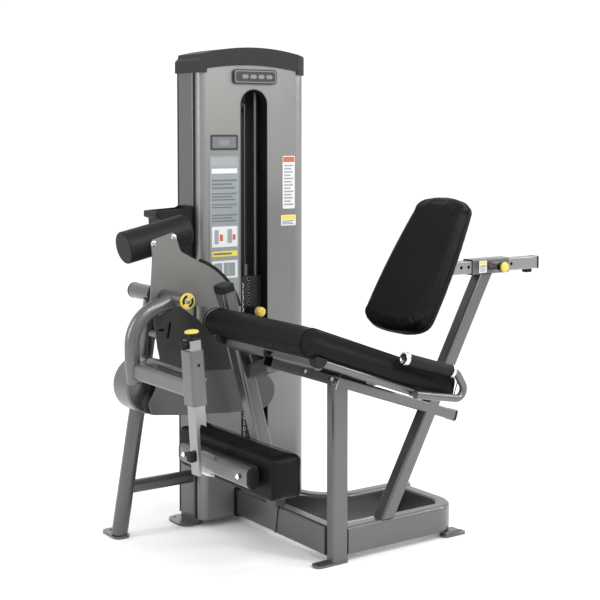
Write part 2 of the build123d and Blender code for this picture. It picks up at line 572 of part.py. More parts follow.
def cam_outline():
    """Cam plate with its counterweight tab, and the rubber strip on its curved edge."""
    tab = [(-396, 990), (-404, 1048), (-314, 1073), (-290, 1006), (-216, 966)]
    tail = [(-60, 802), (-330, 822), (-372, 822), (-407, 838)]
    edges = [Line(a, b) for a, b in zip(tab, tab[1:])]
    edges.append(ThreePointArc((-216, 966), (-121, 903), (-60, 802)))
    edges += [Line(a, b) for a, b in zip(tail, tail[1:] + tab[:1])]
    face = make_face(edges)
    tab_corners = [v for v in face.vertices() if v.Y > 1040]
    face = fillet(tab_corners, 13)
    plate = extrude(side_plane(CAM_X[0]) * face, amount=CAM_X[1] - CAM_X[0])
    plate -= rod_x((-480, -460), PIVOT_Y, PIVOT_Z, AXLE_R + 0.05)
    nodes["cam_plate"] = plate
    strip = make_face([ThreePointArc((-216, 966), (-121, 903), (-60, 802)),
                       Line((-60, 802), (-49, 803)),
                       ThreePointArc((-49, 803), (-113, 912), (-211, 976)),
                       Line((-211, 976), (-216, 966))])
    nodes["cam_strip"] = extrude(side_plane(-476) * strip, amount=12)
    wheel = pulley((sum(BELT_X) / 2, PIVOT_Y, PIVOT_Z), (1, 0, 0), BELT_X[1] - BELT_X[0],
                   CAM_PULLEY_R - BELT_T, AXLE_R + 0.05)
    wheel += rod_x((BELT_X[1], CAM_X[0]), PIVOT_Y, PIVOT_Z, 32, AXLE_R + 0.05)
    nodes["cam_pulley"] = wheel
    wrap = rod_x(BELT_X, PIVOT_Y, PIVOT_Z, CAM_PULLEY_R, CAM_PULLEY_R - BELT_T)
    wrap -= block((-495, -470), (PIVOT_Y - 80, PIVOT_Y + 80), (PIVOT_Z - 80, PIVOT_Z + 2))
    nodes["belt_wrap"] = wrap


def shin_slide():
    """Telescoping shin tube with its latch knob, bumpers, pad bar and pad."""
    top, low = SLEEVE_TOP, SLEEVE_BOTTOM
    head = along(low, top, hypot(top[0] - low[0], top[1] - low[1]) + 32)
    tip = along(top, low, 381)
    wide, deep = 44 - 2 * SLIP, 40 - 2 * SLIP
    bar = beam((MID_X, *head), (MID_X, *tip), wide, deep, 3.5, 3)
    notch_top = along(top, low, 222)
    strip_y = -492.0
    notch = plate_x([(strip_y, notch_top[1] - 16), (notch_top[0], notch_top[1]),
                     (notch_top[0] + 17, notch_top[1] - 10), (notch_top[0] + 40, notch_top[1] - 22),
                     (-430, 300), (strip_y + 12, 300)], (-60, 10))
    bar -= notch
    nodes["shin_tube"] = bar
    knob_base = along(low, top, hypot(top[0] - low[0], top[1] - low[1]) + 32)
    knob_top = along(low, top, hypot(top[0] - low[0], top[1] - low[1]) + 52)
    stem = rod((MID_X, *knob_base), (MID_X, *knob_top), 12)
    dome_top = along(low, top, hypot(top[0] - low[0], top[1] - low[1]) + 61)
    disc = rod((MID_X, *knob_top), (MID_X, *dome_top), 21)
    nodes["latch_knob"] = stem + fillet(disc.edges(), 3)
    lower = along(top, low, 325)
    front = lower[0] - deep / 2
    bumpers = [fillet(rod((MID_X, head[0] - deep / 2 + 1, 771), (MID_X, -542, 771), 14).edges(), 4),
               fillet(block((MID_X - 14, MID_X + 14), (front - 18, front - 0.2), (lower[1] - 15, lower[1] + 15)).edges(), 4)]
    nodes["slide_bumpers"] = [bumpers[0] - bar, bumpers[1] - bar]
    tube = extrude(side_plane(-217) * Pos(-420, 395) * SlotOverall(65, 40, 90), amount=392)
    shelf = block((-210, 168), (-401, -396), (365, 425))
    pad_bar = tube + shelf
    saddle = plate_x([(-492, 452), (-470, 446), (-440, 428), (-440, 362), (-470, 372), (-492, 385)],
                     (-46, -4)) - bar
    saddle -= tube
    nodes["pad_saddle"] = saddle
    nodes["pad_bar"] = pad_bar
    nodes["pad_bar_caps"] = [extrude(side_plane(x) * Pos(-420, 395) * SlotOverall(63, 38, 90), amount=8)
                             for x in (-225, 175)]
    pad = block((-297, 245), (-395.7, -284), (333, 460))
    nodes["shin_pad"] = fillet(pad.edges(), 12)
    nodes["pad_bolts"] = [rod((x, -440, 395), (x, -445, 395), 7) for x in (-185, 132)]


# ---------------------------------------------------------------- back pad

def back_rest():
    """Fixed sleeve, sliding tube, pull knob, and the back pad on its bracket."""
    sleeve = beam((MID_X, 606, BACK_Z), (MID_X, 779, BACK_Z), TUBE, 54, 6)
    sleeve -= beam((MID_X, 600, BACK_Z), (MID_X, 785, BACK_Z), 44, 44, 3)
    sleeve += rod_x((0, 45), BACK_HOLE_Y, BACK_Z + 2, 15)
    sleeve -= rod_x((-10, 50), BACK_HOLE_Y, BACK_Z + 2, 6.5)
    nodes["back_sleeve"] = sleeve
    pin = rod_x((-2, 60), BACK_HOLE_Y, BACK_Z + 2, 6)
    pin += rod_x((45.5, 60), BACK_HOLE_Y, BACK_Z + 2, 9.5)
    nodes["back_pin"] = pin
    nodes["back_knob"] = fillet(rod_x((60, 74), BACK_HOLE_Y, BACK_Z + 2, 18.5).edges(), 3.5)
    side = 44 - 2 * SLIP
    tube = beam((MID_X, 392, BACK_Z), (MID_X, 922, BACK_Z), side, side, 3.5, 3)
    for step in range(-4, 4):
        y = BACK_HOLE_Y + step * BACK_HOLE_PITCH
        tube -= rod_x((-8, 8), y, BACK_Z + 2, 6)
    lean = radians(BACK_LEAN)
    low, high = (236.0, 762.0), (236.0 + 428 * tan(lean), 1190.0)
    thick = 62.0
    drop = (thick * cos(lean), -thick * sin(lean))
    outline = [low, high, (high[0] + drop[0], high[1] + drop[1]), (low[0] + drop[0], low[1] + drop[1])]
    pad = plate_x(outline, (-190, 140))
    corners = pad.edges().filter_by(lambda e: abs(e.tangent_at(0.5).X) < 0.01 and e.length < 80)
    pad = fillet(corners, 55)
    nodes["back_pad"] = fillet(pad.edges().filter_by(lambda e: e.length > 70), 16)
    gap = 0.3
    start = (low[0] + drop[0] + gap, low[1] + drop[1])
    span = (cos(lean), -sin(lean))
    rise = (sin(lean), cos(lean))
    base = [(start[0] + rise[0] * s, start[1] + rise[1] * s) for s in (85, 385)]
    board = plate_x([base[0], base[1], (base[1][0] + 10 * span[0], base[1][1] + 10 * span[1]),
                     (base[0][0] + 10 * span[0], base[0][1] + 10 * span[1])], (-120, 70))
    nodes["back_board"] = board
    inner = [(p[0] + 10.2 * span[0], p[1] + 10.2 * span[1]) for p in base]
    a = along(inner[0], inner[1], 60)
    b = along(inner[0], inner[1], 240)
    bracket = plate_x([a, b, (b[0] + 8 * span[0], b[1] + 8 * span[1]), (a[0] + 8 * span[0], a[1] + 8 * span[1])],
                      (-55, 5))
    bracket += beam((MID_X, 370, BACK_Z), (MID_X, 410, BACK_Z), 52, 52, 4) - \
        plate_x([(300, 600), (300, 700), (b[0], b[1]), (a[0] - 60, a[1] - 60 / tan(lean))], (-60, 10))
    reach = plate_x([(0, 0), (0, 1300), (b[0] + 200 * rise[0], b[1] + 200 * rise[1]),
                     (a[0] - 300 * rise[0], a[1] - 300 * rise[1])], (-80, 60))
    bracket = bracket - reach
    bracket -= beam((MID_X, 340, BACK_Z), (MID_X, 540, BACK_Z), side, side, 3.5)
    nodes["back_bracket"] = bracket
    nodes["back_tube"] = tube - reach
    end = beam((MID_X, 922, BACK_Z), (MID_X, 930, BACK_Z), side + 1, side + 1, 4)
    stop = block((MID_X - 12, MID_X + 12), (880, 905), (BACK_Z - side / 2 - 14, BACK_Z - side / 2))
    nodes["back_stops"] = [end, fillet(stop.edges().group_by(Axis.Z)[0], 4)]


# ---------------------------------------------------------------- feet and fasteners

def foot(x, y, hole):
    """Steel floor plate with rounded corners and one bolt hole."""
    plate = block(x, y, (0, FOOT_T), min(x[1] - x[0], y[1] - y[0]) * 0.4, Axis.Z)
    return plate - rod((*hole, -1), (*hole, FOOT_T + 1), 6)


def feet():
    """Floor plates under the posts, the front leg, the tower and the rear loop."""
    plates = [foot((-42, 2), (-58, 74), (-20, -38)),
              foot((-760, -640), (-452, -390), (-736, -424)),
              foot((-762, -630), (-192, -95), (-738, -165)),
              foot((-793, -650), (278, 324), (-765, 301)),
              foot((-42, -2), (490, 592), (-22, 576))]
    plates[4] += block((-40, -4), (495, 555), (FOOT_T, BASE_Z[0]))
    far = foot((-337, -283), (500, 600), (-310, 583))
    plates.append(far + block((-333, -287), (505, 560), (FOOT_T, BASE_Z[0])))
    nodes["foot_plates"] = plates


def frame_bolts():
    """Bolt heads on the rail and the lock pin beside the front post."""
    heads = [rod_x((0, 4), y, rail_top(y) - 18, 6) for y in (-108, -4)]
    heads.append(rod_x((0, 8), 17, rail_top(17) - 18, 4))
    nodes["frame_bolts"] = heads


# Welded or bonded pieces that share one node, as separate solids.
GROUPS = {
    "tower_frame": ("tower_upright_left", "tower_upright_right", "tower_base_beam",
                    "tower_top_beam", "top_pulley_hanger"),
    "tower_shroud": ("tower_shroud", "tower_back_panel"),
    "seat_frame": ("seat_risers", "seat_side_tubes", "seat_front_bar", "beam_brace"),
    "tube_caps": ("tube_caps", "seat_corner_caps"),
    "side_handles": ("handle_left", "handle_right"),
    "pivot_stand": ("front_leg", "leg_brace", "pivot_cross_bar", "bearing_tube"),
    "base_cross_tube": ("base_tower_tube", "base_cross_tube"),
    "drive_belt": ("drive_belt", "rising_cable"),
    "axles": ("pivot_axle", "pulley_axles"),
    "belt_housing": ("housing_panel", "housing_back"),
    "arm_cross_tube": ("arm_cross_tube", "arm_link_bar"),
    "cam_strip": ("cam_strip", "belt_wrap"),
    "shin_rubbers": ("slide_bumpers", "pad_bar_caps"),
    "back_bracket": ("back_bracket", "back_board"),
    "lifted_plates": ("head_plate", "lifted_plates"),
    "selector_rod": ("selector_rod", "stack_cable"),
    "cam_plate": ("cam_plate", "arm_bolts"),
    "pad_bar": ("pad_bar", "pad_bolts"),
}


def build():
    tower_frame()
    tower_shroud()
    tower_cap()
    accessory_tray()
    weight_stack()
    cable_gear()
    base_frame()
    seat_rail()
    seat()
    handles()
    pivot_support()
    housing()
    arm()
    shin_slide()
    back_rest()
    feet()
    frame_bolts()
    for name, members in GROUPS.items():
        nodes[name] = [nodes.pop(member) for member in members]


def solids_of(shape):
    """Flat list of the solids in a shape or in a list of shapes."""
    if isinstance(shape, (list, tuple)):
        return [solid for item in shape for solid in solids_of(item)]
    return list(shape.solids())


def save():
    """Shift every node to the footprint's centre and write it."""
    os.makedirs("parts", exist_ok=True)
    shift = Location((-CENTRE_X, -CENTRE_Y, 0))
    low, high = [1e9] * 3, [-1e9] * 3
    for name, shape in nodes.items():
        solids = [solid.moved(shift) for solid in solids_of(shape)]
        whole = solids[0] if len(solids) == 1 else Compound(children=solids)
        export_step(whole, f"parts/{name}.step")
        box = whole.bounding_box()
        low = [min(a, b) for a, b in zip(low, box.min)]
        high = [max(a, b) for a, b in zip(high, box.max)]
    print("box", [round(v, 2) for v in low], [round(v, 2) for v in high])


build()
save()
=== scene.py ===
"""Looks of the leg extension machine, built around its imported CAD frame."""
from math import cos, hypot, pi, radians, sin

import bmesh
import bpy
from mathutils import Matrix, Vector


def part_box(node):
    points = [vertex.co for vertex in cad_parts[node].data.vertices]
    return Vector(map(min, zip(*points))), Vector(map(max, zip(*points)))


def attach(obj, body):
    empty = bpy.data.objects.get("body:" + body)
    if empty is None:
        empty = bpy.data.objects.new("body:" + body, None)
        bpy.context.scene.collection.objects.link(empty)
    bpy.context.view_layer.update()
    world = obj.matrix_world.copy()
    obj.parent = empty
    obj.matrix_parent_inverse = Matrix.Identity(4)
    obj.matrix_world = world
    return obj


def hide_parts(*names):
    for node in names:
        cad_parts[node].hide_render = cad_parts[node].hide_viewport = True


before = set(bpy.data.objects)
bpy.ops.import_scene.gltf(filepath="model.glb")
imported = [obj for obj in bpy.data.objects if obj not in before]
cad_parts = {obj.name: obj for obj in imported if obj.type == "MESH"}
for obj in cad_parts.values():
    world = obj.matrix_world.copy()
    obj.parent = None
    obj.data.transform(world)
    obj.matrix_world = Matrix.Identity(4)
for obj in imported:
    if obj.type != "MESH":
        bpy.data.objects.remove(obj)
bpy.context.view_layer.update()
SCENE = bpy.context.scene

# Everything is placed from the foot of the front post: its near face, and 6 mm ahead of its front.
POST_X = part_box("front_post")[1].x
POST_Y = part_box("front_post")[0].y - 0.006
ALONG_X = (1, 0, 0)

# Weight stack: top of the highest plate, distance between plates, how many in all and how many lift.
STACK_TOP, PLATE_PITCH = 882, 22
PLATES, LIFTED = 31, 6
PIN_HOLE_Y = 86.5


def at(x, y, z):
    """Point in the row frame from millimetres measured from the foot of the front post."""
    return Vector((POST_X + x / 1000, POST_Y + y / 1000, z / 1000))


def hole_height(index):
    """Height of a weight plate's pin hole, with the plates counted from the top."""
    return STACK_TOP - PLATE_PITCH * index - 10.7


# ---------------------------------------------------------------- materials

def node_material(name):
    """Empty node material: returns it with its tree and its main shader."""
    material = bpy.data.materials.new(name)
    material.use_nodes = True
    tree = material.node_tree
    return material, tree, tree.nodes["Principled BSDF"]


def noise(tree, scale, detail=4.0, stretch=(1, 1, 1)):
    """Noise in object space, stretched along an axis if asked."""
    place = tree.nodes.new("ShaderNodeTexCoord")
    mapping = tree.nodes.new("ShaderNodeMapping")
    mapping.inputs["Scale"].default_value = stretch
    texture = tree.nodes.new("ShaderNodeTexNoise")
    texture.inputs["Scale"].default_value = scale
    texture.inputs["Detail"].default_value = detail
    texture.inputs["Roughness"].default_value = 0.55
    tree.links.new(place.outputs["Object"], mapping.inputs["Vector"])
    tree.links.new(mapping.outputs["Vector"], texture.inputs["Vector"])
    return texture


def ramp(tree, source, low, high, colour_a, colour_b):
    """Two-stop colour ramp on a value."""
    node = tree.nodes.new("ShaderNodeValToRGB")
    node.color_ramp.elements[0].position = low
    node.color_ramp.elements[1].position = high
    node.color_ramp.elements[0].color = (*colour_a, 1)
    node.color_ramp.elements[1].color = (*colour_b, 1)
    tree.links.new(source, node.inputs["Fac"])
    return node.outputs["Color"]


def spread(tree, source, low, high):
    """Maps a 0 to 1 value to a range."""
    node = tree.nodes.new("ShaderNodeMapRange")
    node.inputs["To Min"].default_value = low
    node.inputs["To Max"].default_value = high
    tree.links.new(source, node.inputs["Value"])
    return node.outputs["Result"]


def bump(tree, shader, source, strength, distance):
    """Bump from a height value."""
    node = tree.nodes.new("ShaderNodeBump")
    node.inputs["Strength"].default_value = strength
    node.inputs["Distance"].default_value = distance
    tree.links.new(source, node.inputs["Height"])
    tree.links.new(node.outputs["Normal"], shader.inputs["Normal"])


def grey(value, warm=0.0):
    """Neutral colour with a touch of warmth."""
    return (value * (1 + warm * 0.5), value * (1 + warm * 0.5), value * (1 - warm * 2))


def painted(name, value, roughness=0.38, metallic=0.55, coat=0.25, warm=0.02):
    """Metallic powder coat: mottled tone, fine orange peel, uneven gloss."""
    material, tree, shader = node_material(name)
    tone = noise(tree, 5, 5)
    colour = ramp(tree, tone.outputs["Fac"], 0.3, 0.7, grey(value * 0.93, warm), grey(value * 1.06, warm))
    tree.links.new(colour, shader.inputs["Base Color"])
    gloss = noise(tree, 42, 3)
    tree.links.new(spread(tree, gloss.outputs["Fac"], roughness - 0.05, roughness + 0.06),
                   shader.inputs["Roughness"])
    peel = noise(tree, 900, 2)
    bump(tree, shader, peel.outputs["Fac"], 0.10, 0.0006)
    shader.inputs["Metallic"].default_value = metallic
    shader.inputs["Coat Weight"].default_value = coat
    shader.inputs["Coat Roughness"].default_value = 0.22
    return material


def vinyl(name, value=0.0035):
    """Coated black vinyl with a fine pebble grain."""
    material, tree, shader = node_material(name)
    tone = noise(tree, 9, 4)
    colour = ramp(tree, tone.outputs["Fac"], 0.3, 0.72, grey(value * 0.85), grey(value * 1.25))
    tree.links.new(colour, shader.inputs["Base Color"])
    place = tree.nodes.new("ShaderNodeTexCoord")
    cells = tree.nodes.new("ShaderNodeTexVoronoi")
    cells.inputs["Scale"].default_value = 620
    tree.links.new(place.outputs["Object"], cells.inputs["Vector"])
    fold = noise(tree, 160, 5)
    mix = tree.nodes.new("ShaderNodeMath")
    mix.operation = "ADD"
    tree.links.new(cells.outputs["Distance"], mix.inputs[0])
    tree.links.new(fold.outputs["Fac"], mix.inputs[1])
    bump(tree, shader, mix.outputs["Value"], 0.28, 0.0007)
    rough = noise(tree, 26, 3)
    tree.links.new(spread(tree, rough.outputs["Fac"], 0.40, 0.54), shader.inputs["Roughness"])
    shader.inputs["Specular IOR Level"].default_value = 0.11
    return material


def moulded(name, colour, roughness=0.5, grain=0.18, scale=700):
    """Moulded plastic or rubber with a fine spark-eroded grain."""
    material, tree, shader = node_material(name)
    tone = noise(tree, 14, 3)
    dark = tuple(c * 0.9 for c in colour)
    light = tuple(min(1, c * 1.08) for c in colour)
    tree.links.new(ramp(tree, tone.outputs["Fac"], 0.3, 0.7, dark, light), shader.inputs["Base Color"])
    fine = noise(tree, scale, 3)
    bump(tree, shader, fine.outputs["Fac"], grain, 0.0006)
    tree.links.new(spread(tree, fine.outputs["Fac"], roughness - 0.05, roughness + 0.07),
                   shader.inputs["Roughness"])
    shader.inputs["Specular IOR Level"].default_value = 0.2
    return material


def plated(name, value, roughness, stretch=(1, 1, 60)):
    """Bright plated or brushed steel with fine drawn lines."""
    material, tree, shader = node_material(name)
    lines = noise(tree, 60, 4, stretch=stretch)
    colour = ramp(tree, lines.outputs["Fac"], 0.2, 0.8, grey(value * 0.93), grey(value * 1.04))
    tree.links.new(colour, shader.inputs["Base Color"])
    tree.links.new(spread(tree, lines.outputs["Fac"], roughness - 0.05, roughness + 0.09),
                   shader.inputs["Roughness"])
    bump(tree, shader, lines.outputs["Fac"], 0.05, 0.0004)
    shader.inputs["Metallic"].default_value = 1.0
    return material


def printed(name, colour, roughness=0.35):
    """Printed film: an even colour with faint unevenness under a clear coat."""
    material, tree, shader = node_material(name)
    tone = noise(tree, 30, 2)
    dark = tuple(c * 0.96 for c in colour)
    tree.links.new(ramp(tree, tone.outputs["Fac"], 0.35, 0.65, dark, colour), shader.inputs["Base Color"])
    fine = noise(tree, 300, 2)
    bump(tree, shader, fine.outputs["Fac"], 0.04, 0.0003)
    shader.inputs["Roughness"].default_value = roughness
    shader.inputs["Coat Weight"].default_value = 0.3
    return material


def stack_iron(name):
    """Black coated weight plate with a cast grain and rubbed tone."""
    material, tree, shader = node_material(name)
    tone = noise(tree, 18, 5)
    tree.links.new(ramp(tree, tone.outputs["Fac"], 0.3, 0.75, grey(0.008), grey(0.019)),
                   shader.inputs["Base Color"])
    fine = noise(tree, 420, 5)
    bump(tree, shader, fine.outputs["Fac"], 0.35, 0.001)
    shader.inputs["Roughness"].default_value = 0.55
    shader.inputs["Metallic"].default_value = 0.2
    return material


M = {
    "frame": painted("frame_paint", 0.122, 0.30, 0.75, 0.3, 0.012),
    "leg": painted("leg_paint", 0.102, 0.30, 0.75, 0.3, 0.012),
    "shroud": painted("shroud_paint", 0.190, 0.38, 0.6, 0.2, 0.012),
    "upright": painted("upright_paint", 0.095, 0.30, 0.75, 0.3, 0.012),
    "dark": painted("dark_paint", 0.022, 0.42, 0.4, 0.1),
    "guard": painted("guard_paint", 0.030, 0.46, 0.35, 0.05),
    "panel": painted("panel_paint", 0.102, 0.44, 0.4, 0.1),
    "cam": painted("cam_paint", 0.150, 0.46, 0.4, 0.1),
    "vinyl": vinyl("black_vinyl"),
    "plastic": moulded("black_plastic", grey(0.009), 0.46),
    "hood": moulded("hood_plastic", grey(0.014), 0.48, 0.2, 520),
    "weight": moulded("weight_coat", grey(0.007), 0.50, 0.22, 420),
    "rubber": moulded("black_rubber", grey(0.007), 0.62, 0.25, 500),
    "yellow": moulded("yellow_plastic", (0.58, 0.44, 0.09), 0.34, 0.08, 600),
    "steel": plated("plated_steel", 0.30, 0.30),
    "dull_steel": plated("dull_steel", 0.16, 0.42),
    "chrome": plated("chrome", 0.86, 0.10, (1, 1, 1)),
    "saddle": plated("polished_saddle", 0.85, 0.14, (40, 1, 1)),
    "iron": stack_iron("weight_plate"),
    "white_print": printed("white_print", (0.60, 0.61, 0.61)),
    "placard": printed("placard_print", (0.22, 0.245, 0.25)),
    "dark_print": printed("dark_print", (0.012, 0.013, 0.015), 0.3),
    "border_print": printed("border_print", (0.16, 0.165, 0.175), 0.3),
    "yellow_print": printed("yellow_print", (0.66, 0.52, 0.07)),
    "red_print": printed("red_print", (0.46, 0.10, 0.05)),
    "ink": printed("ink_print", (0.11, 0.12, 0.13)),
    "pale_ink": printed("pale_ink_print", (0.25, 0.28, 0.29)),
}

NODE_LOOK = {
    "frame": ["arm_cross_tube", "arm_hub", "arm_sleeve", "arm_tube", "back_sleeve", "base_cross_tube",
              "base_far_tube", "base_side_tube", "diagonal_upright", "drum_cover", "foot_plates",
              "front_post", "pad_bar", "rear_post", "rear_rail", "seat_frame", "side_handles"],
    "leg": ["pivot_stand"],
    "shroud": ["tower_shroud"],
    "upright": ["tower_frame"],
    "cam": ["cam_plate"],
    "panel": ["belt_housing"],
    "guard": ["guard_plate"],
    "dark": ["front_beam", "back_bracket", "top_pulley", "lower_pulley", "rear_pulley", "cam_pulley"],
    "plastic": ["accessory_tray", "slot_bezel", "tube_caps", "seat_board"],
    "weight": ["counterweight"],
    "rubber": ["back_stops", "cam_strip", "drive_belt", "hand_grips", "shin_rubbers", "stack_cushions"],
    "yellow": ["back_knob", "hub_cap", "latch_knob", "weight_pin"],
    "steel": ["frame_bolts", "axles", "back_pin", "back_tube", "shin_tube"],
    "dull_steel": ["selector_rod", "guide_rods"],
    "hood": ["tower_cap"],
    "chrome": ["grip_collars"],
    "saddle": ["pad_saddle"],
    "iron": ["lifted_plates", "resting_plates"],
    "vinyl": ["back_pad", "knee_bolster", "seat_cushion", "shin_pad"],
}


def paint_cad():
    """Gives every CAD node its material."""
    for look, names in NODE_LOOK.items():
        for name in names:
            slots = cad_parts[name].material_slots
            if not slots:
                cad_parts[name].data.materials.append(M[look])
            for entry in slots:
                entry.material = M[look]


# ---------------------------------------------------------------- mesh helpers

def piece(name, vertices, faces, look, body, smooth=True):
    """Mesh object in the row frame that rides on a body."""
    mesh = bpy.data.meshes.new(name)
    mesh.from_pydata([tuple(v) for v in vertices], [], faces)
    mesh.update()
    obj = bpy.data.objects.new(name, mesh)
    SCENE.collection.objects.link(obj)
    mesh.materials.append(M[look])
    clean(obj, smooth)
    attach(obj, body)
    return obj


def clean(obj, smooth=True):
    """Turns the faces outwards and sets their shading."""
    work = bmesh.new()
    work.from_mesh(obj.data)
    bmesh.ops.remove_doubles(work, verts=work.verts, dist=1e-6)
    bmesh.ops.recalc_face_normals(work, faces=work.faces)
    work.to_mesh(obj.data)
    work.free()
    for polygon in obj.data.polygons:
        polygon.use_smooth = smooth


def soften(obj, width):
    """Rounds the sharp edges of a piece."""
    modifier = obj.modifiers.new("edge", "BEVEL")
    modifier.width = width
    modifier.segments = 2
    modifier.limit_method = "ANGLE"
    modifier.angle_limit = radians(40)
    modifier.harden_normals = False


def turned(centre, axis, profile, sides):
    """Rings of points about an axis, one for each (distance along the axis, radius) in mm."""
    axis = Vector(axis).normalized()
    across = axis.orthogonal().normalized()
    other = axis.cross(across)
    vertices = []
    for along, radius in profile:
        for i in range(sides):
            turn = 2 * pi * i / sides
            offset = across * cos(turn) + other * sin(turn)
            vertices.append(centre + axis * (along / 1000) + offset * (radius / 1000))
    return vertices


def band(first, second, count):
    """Faces between two rings of points, numbered from the start of each ring."""
    faces = []
    for i in range(count):
        j = (i + 1) % count
        faces.append((first + i, first + j, second + j, second + i))
    return faces


def closed_rings(rings, count):
    """Faces over a row of rings, with a cap on the first and the last."""
    faces = []
    for ring in range(rings - 1):
        faces += band(ring * count, (ring + 1) * count, count)
    faces.append(tuple(range(count)))
    faces.append(tuple((rings - 1) * count + i for i in range(count)))
    return faces


def lathe(name, centre, axis, profile, look, body, sides=48):
    """Turned piece about an axis: the profile is (distance along the axis, radius) in mm."""
    vertices = turned(centre, axis, profile, sides)
    obj = piece(name, vertices, closed_rings(len(profile), sides), look, body)
    for polygon in obj.data.polygons:
        polygon.use_smooth = len(polygon.vertices) < 5
    return obj


def rounded_outline(low, high, radius, steps=6):
    """Corner-rounded rectangle as a list of points."""
    corners = [(high[0] - radius, high[1] - radius, 0), (low[0] + radius, high[1] - radius, 90),
               (low[0] + radius, low[1] + radius, 180), (high[0] - radius, low[1] + radius, 270)]
    points = []
    for cx, cy, start in corners:
        for i in range(steps + 1):
            turn = radians(start + 90 * i / steps)
            points.append((cx + radius * cos(turn), cy + radius * sin(turn)))
    return points


def slab(name, outline, place, depth, look, body, edge=0.0):
    """Flat piece: an outline of (a, b) put in space by place(a, b, depth)."""
    count = len(outline)
    vertices = [place(a, b, 0) for a, b in outline] + [place(a, b, depth) for a, b in outline]
    faces = [tuple(range(count)), tuple(range(count, 2 * count))]
    faces += [(i, (i + 1) % count, count + (i + 1) % count, count + i) for i in range(count)]
    obj = piece(name, vertices, faces, look, body, smooth=False)
    if edge:
        soften(obj, edge / 1000)
    return obj


def on_x(x):
    """Placer for slabs that face +X: a is along Y, b is up, depth is outwards."""
    return lambda a, b, depth: at(x + depth, a, b)


def join(name, objects, body):
    """Joins mesh pieces into one."""
    work = bmesh.new()
    materials = []
    for obj in objects:
        for material in obj.data.materials:
            if material not in materials:
                materials.append(material)
    for obj in objects:
        depsgraph = bpy.context.evaluated_depsgraph_get()
        copy = bpy.data.meshes.new_from_object(obj.evaluated_get(depsgraph))
        index = {i: materials.index(material) for i, material in enumerate(copy.materials)}
        for polygon in copy.polygons:
            polygon.material_index = index.get(polygon.material_index, 0)
        work.from_mesh(copy)
    mesh = bpy.data.meshes.new(name)
    work.to_mesh(mesh)
    work.free()
    for material in materials:
        mesh.materials.append(material)
    obj = bpy.data.objects.new(name, mesh)
    SCENE.collection.objects.link(obj)
    for old in objects:
        bpy.data.objects.remove(old)
    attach(obj, body)
    return obj


# ---------------------------------------------------------------- cushions

SEAT_SLOPE = radians(20.1)
SEAT_DEPTH = 74.0
SEAT_RUN = 546
SEAT_WIDTH = 550
SEAT_FAR = -300


def offset_inwards(outline, distance):
    """Moves each point of a closed outline inwards along its corner's bisector."""
    count = len(outline)
    area = sum(outline[i][0] * outline[(i + 1) % count][1] - outline[(i + 1) % count][0] * outline[i][1]
               for i in range(count))
    side = 1 if area > 0 else -1
    moved = []
    for i in range(count):
        ax, ay = outline[i - 1]
        bx, by = outline[(i + 1) % count]
        dx, dy = bx - ax, by - ay
        length = hypot(dx, dy) or 1
        moved.append((outline[i][0] - side * dy / length * distance,
                      outline[i][1] + side * dx / length * distance))
    return moved


def pad_shell(name, outline, profile, place):
    """Closed pad: rings of the outline at each (inset, height) of the profile, capped at both ends."""
    vertices = []
    for inset, height in profile:
        for a, b in offset_inwards(outline, inset):
            vertices.append(place(a, b, height))
    faces = closed_rings(len(profile), len(outline))
    mesh = bpy.data.meshes.new(name)
    mesh.from_pydata([tuple(v) for v in vertices], [], faces)
    mesh.update()
    obj = bpy.data.objects.new(name, mesh)
    SCENE.collection.objects.link(obj)
    clean(obj)
    mesh.materials.append(M["vinyl"])
    return obj


def apply_modifiers(obj):
    """Bakes a piece's modifiers into its mesh."""
    depsgraph = bpy.context.evaluated_depsgraph_get()
    mesh = bpy.data.meshes.new_from_object(obj.evaluated_get(depsgraph))
    obj.modifiers.clear()
    obj.data = mesh
    if not mesh.materials:
        mesh.materials.append(M["vinyl"])


def inflate(obj, voxel, cap, held):
    """Cloth simulation that tightens the cover, by cap mm at most; held(point) tells if a point is pinned."""
    remesh = obj.modifiers.new("remesh", "REMESH")
    remesh.mode = "VOXEL"
    remesh.voxel_size = voxel / 1000
    apply_modifiers(obj)
    rest = [v.co.copy() for v in obj.data.vertices]
    group = obj.vertex_groups.new(name="held")
    group.add([i for i, co in enumerate(rest) if held(co)], 1.0, "REPLACE")
    cloth = obj.modifiers.new("cloth", "CLOTH")
    cloth.settings.quality = 4
    cloth.settings.mass = 0.4
    cloth.settings.tension_stiffness = 40
    cloth.settings.compression_stiffness = 40
    cloth.settings.bending_stiffness = 4
    cloth.settings.use_pressure = True
    cloth.settings.uniform_pressure_force = 4.0
    cloth.settings.effector_weights.gravity = 0
    cloth.settings.vertex_group_mass = "held"
    cloth.collision_settings.use_collision = False
    for step in range(1, 21):
        SCENE.frame_set(step)
    depsgraph = bpy.context.evaluated_depsgraph_get()
    swollen = [v.co.copy() for v in obj.evaluated_get(depsgraph).data.vertices]
    obj.modifiers.clear()
    obj.vertex_groups.clear()
    for vertex, old, new in zip(obj.data.vertices, rest, swollen):
        move = new - old
        if move.length > cap / 1000:
            move *= cap / 1000 / move.length
        vertex.co = old + move
    SCENE.frame_set(1)
    smooth = obj.modifiers.new("smooth", "SMOOTH")
    smooth.factor = 0.5
    smooth.iterations = 3
    divide = obj.modifiers.new("divide", "SUBSURF")
    divide.levels = 1
    divide.render_levels = 1
    apply_modifiers(obj)
    for polygon in obj.data.polygons:
        polygon.use_smooth = True


def round_profile(thickness, top_radius, bottom_radius, squash=1.0):
    """Side profile of a pad from its back to its face, as (inset, height)."""
    steps = 6
    points = []
    for i in range(steps + 1):
        turn = radians(90 * i / steps)
        points.append((bottom_radius * (1 - sin(turn)), bottom_radius * (1 - cos(turn))))
    for i in range(steps + 1):
        turn = radians(90 * i / steps)
        inset = top_radius * (1 - cos(turn)) * squash
        points.append((inset, thickness - top_radius + top_radius * sin(turn)))
    return points


